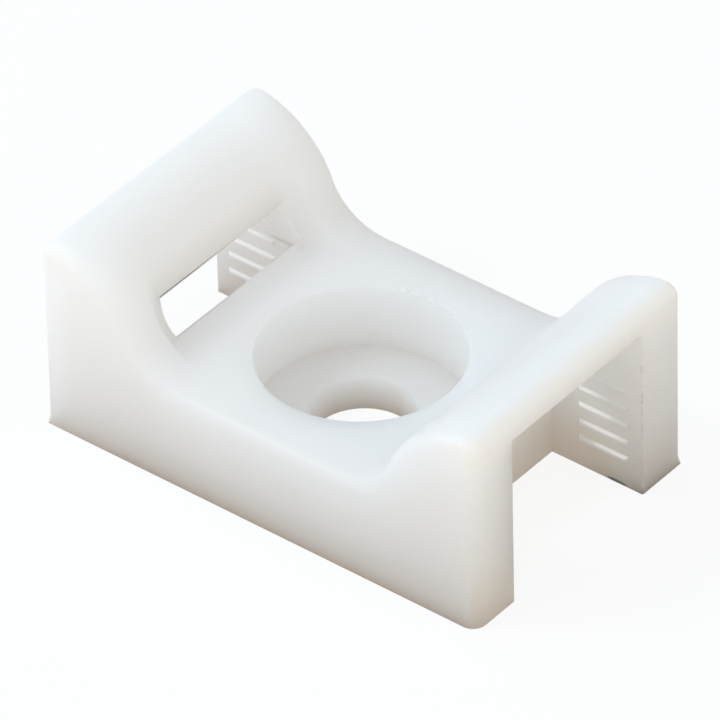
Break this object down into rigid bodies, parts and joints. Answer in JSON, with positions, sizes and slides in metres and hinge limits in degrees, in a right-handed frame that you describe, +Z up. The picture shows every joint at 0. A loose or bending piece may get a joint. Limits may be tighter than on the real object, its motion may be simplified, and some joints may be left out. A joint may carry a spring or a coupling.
{
  "type": "cable tie mount",
  "caption": "Saddle-shaped screw mount for a cable tie: a moulded block with a recessed screw hole between raised ears, each with a tie window.",
  "frame": {"origin": "on the mounting surface, on the axis of the screw hole", "axes": "+Z up from the mounting surface along the screw hole, +X along the length from ear to ear, +Y across the width"},
  "size_m": [0.026, 0.0158, 0.0111],
  "materials": {
    "natural_nylon": "satin, milky and slightly translucent, as moulded"
  },
  "bodies": {
    "root": {"tie_mount": "natural_nylon"}
  },
  "joints": []
}
